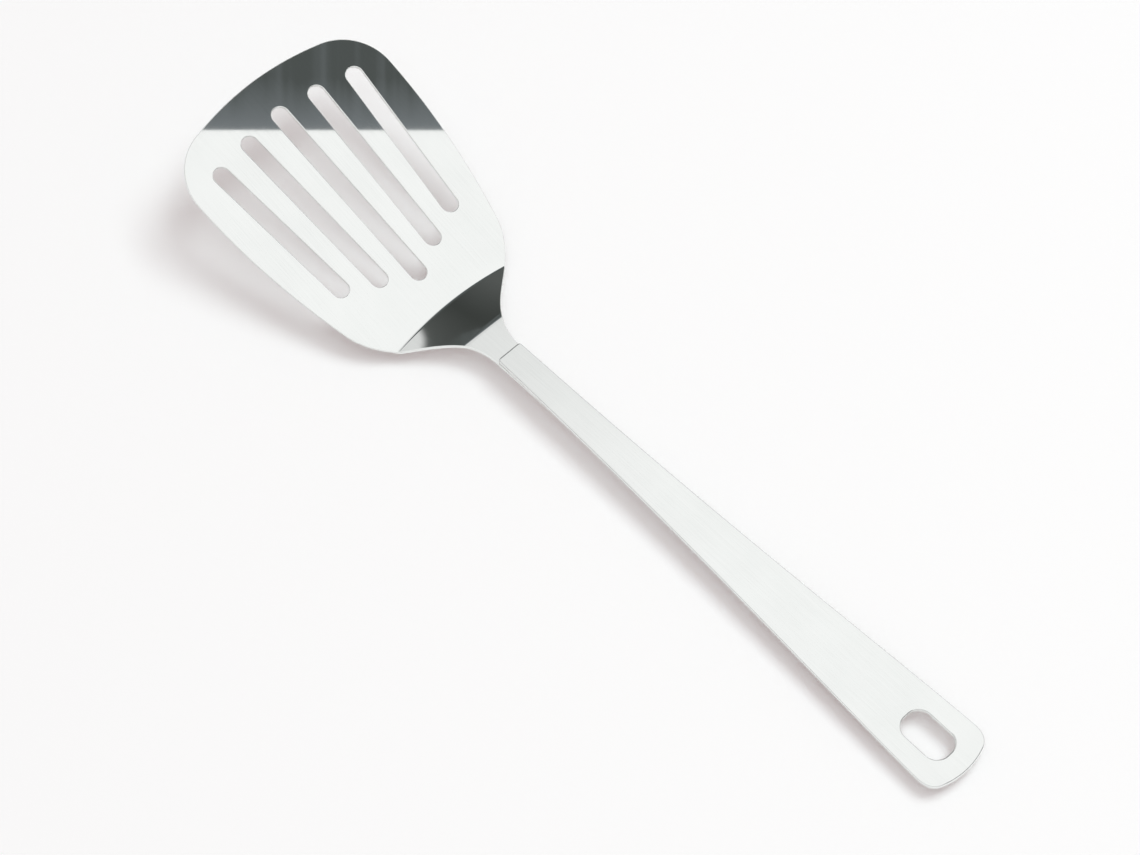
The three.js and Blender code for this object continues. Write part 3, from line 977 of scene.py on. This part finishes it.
# %% [markdown]
# ## The flag's painted glow
# The blade's front half mirrors a dark sheet, which a studio calls a flag. The band that it makes
# gets darker toward the tip and has faint streaks. Both could be painted on the steel, but then
# they would stay put when the view changes. So the light is painted on the flag instead: it is a
# flat sheet that glows, with painted shade that darkens it away from its edge and painted streaks
# of shade in place of folds.

# %% Paint the flag's glow and shade
# The flag's glow is painted light: light at its edge, painted shade deeper in, and painted streaks of
# shade.
FLAG_EDGE_LIGHT = (0.195, 0.212, 0.225)
FLAG_DEEP_LIGHT = (0.085, 0.094, 0.092)
FLAG_FADE = 18.5 * MM
FLAG_SHADE_STREAK_SCALE = 130
FLAG_SHADE_STREAK_DEPTH = 0.3
SHADE_STREAK_NOISE_RANGE = (0.3, 0.7)


def flag_material():
    material, nodes, links = empty_material("glowing_flag")
    place = nodes.new("ShaderNodeTexCoord")
    split = nodes.new("ShaderNodeSeparateXYZ")
    links.new(place.outputs["Object"], split.inputs["Vector"])
    depth = map_range(nodes, links, split.outputs["Y"], 0, FLAG_FADE, 0, 1)
    shade_streaks = nodes.new("ShaderNodeTexNoise")
    shade_streaks.noise_dimensions = "1D"
    shade_streaks.inputs["Scale"].default_value = FLAG_SHADE_STREAK_SCALE
    links.new(split.outputs["X"], shade_streaks.inputs["W"])
    shade_streak_range = (-FLAG_SHADE_STREAK_DEPTH, FLAG_SHADE_STREAK_DEPTH)
    shift = map_range(nodes, links, shade_streaks.outputs["Fac"], *SHADE_STREAK_NOISE_RANGE, *shade_streak_range)
    depth = combined(nodes, links, "ADD", depth, combined(nodes, links, "MULTIPLY", depth, shift))
    # This emission is the flag's painted light, darkened by the painted shade and streaks above.
    glow = nodes.new("ShaderNodeEmission")
    links.new(mixed(nodes, links, depth, FLAG_EDGE_LIGHT, FLAG_DEEP_LIGHT), glow.inputs["Color"])
    output = nodes.new("ShaderNodeOutputMaterial")
    links.new(glow.outputs["Emission"], output.inputs["Surface"])
    return material


painted_flag_glow = flag_material()
print("cloth:", painted_flag_glow.name)

# %% [markdown]
# ## The dark band on the blade
# The flag's straight edge draws the straight line across the blade. It could be moved about by eye
# until the line fits. Here two places on the blade where the line runs, and the mirror rule at each
# of them, give two points of the flag's edge. Only reflections see the flag, so it throws no
# shadow.

# %% Hang the dark flag
BAND_POINTS = [(93.7 * MM, 23.7 * MM), (45 * MM, -39.5 * MM)]
FLAG_HEIGHT = 100 * MM
FLAG_WIDTH = 52 * MM
FLAG_OVERHANG = 4 * MM


def glowing_flag():
    blade_normal = tool_to_row.to_3x3() @ sheet_surface(heel_x + BLADE_LENGTH / 2, 0)[1]
    ends, bounces = [], []
    for place in on_blade([Vector(point) for point in BAND_POINTS]):
        spot = tool_to_row @ Vector((place.x, place.y, sheet_height(place.x, place.y)))
        bounce = (spot - eye).normalized().reflect(blade_normal)
        ends.append(spot + bounce * FLAG_HEIGHT)
        bounces.append(bounce)
    edge = (ends[1] - ends[0]).normalized()
    inward = edge.cross(bounces[0] + bounces[1]).normalized()
    if inward.dot(lengthwise) < 0:
        inward = -inward
    first = -FLAG_OVERHANG
    last = (ends[1] - ends[0]).length + FLAG_OVERHANG
    corners = [(first, 0, 0), (last, 0, 0), (last, FLAG_WIDTH, 0), (first, FLAG_WIDTH, 0)]
    mesh = bpy.data.meshes.new("flag")
    mesh.from_pydata(corners, [], [(0, 1, 2, 3)])
    mesh.materials.append(painted_flag_glow)
    flag = bpy.data.objects.new("flag", mesh)
    flag.matrix_world = Matrix((edge, inward, edge.cross(inward))).transposed().to_4x4()
    flag.location = ends[0]
    flag.visible_camera = False
    flag.visible_diffuse = False
    flag.visible_shadow = False
    bpy.context.scene.collection.objects.link(flag)
    return flag


flag = glowing_flag()
print("flag's edge starts at", [round(v / MM) for v in flag.location], "mm")

# %% [markdown]
# ## The shadow lights
# A sun would draw the shadow too hard, so it comes from two broad lamps, both high up. The stronger
# one stands to the far side, and its shadow falls toward the picture's lower left. The weaker one
# stands on the viewer's side, so that the floor behind the slots lies in shade as well. Both are
# hidden from reflections, because the ceiling already stands for the light that the steel mirrors.

# %% Hang the lamps
LAMP_DISTANCE = 3
KEY_LAMP = dict(azimuth=math.radians(-110), elevation=math.radians(67), size=1.5, power=44)
FILL_LAMP = dict(azimuth=math.radians(136), elevation=math.radians(72), size=1.8, power=18)


def softbox(name, azimuth, elevation, size, power):
    level = math.cos(elevation)
    toward = Vector((math.cos(azimuth) * level, math.sin(azimuth) * level, math.sin(elevation)))
    lamp_data = bpy.data.lights.new(name, "AREA")
    lamp_data.size = size
    lamp_data.energy = power
    lamp = bpy.data.objects.new(name, lamp_data)
    lamp.location = toward * LAMP_DISTANCE
    lamp.rotation_mode = "QUATERNION"
    lamp.rotation_quaternion = toward.to_track_quat("Z", "Y")
    lamp.visible_glossy = False
    bpy.context.scene.collection.objects.link(lamp)
    print(name, "at", [round(v, 2) for v in lamp.location], "m")


softbox("key_softbox", **KEY_LAMP)
softbox("fill_softbox", **FILL_LAMP)

# %% [markdown]
# ## Finish
# A filmic view transform softens bright whites, but here the white of the floor has to stay white.
# So the view transform is Standard, and a colour keeps its value.

# %% Set the view transform
bpy.context.scene.view_settings.view_transform = "Standard"
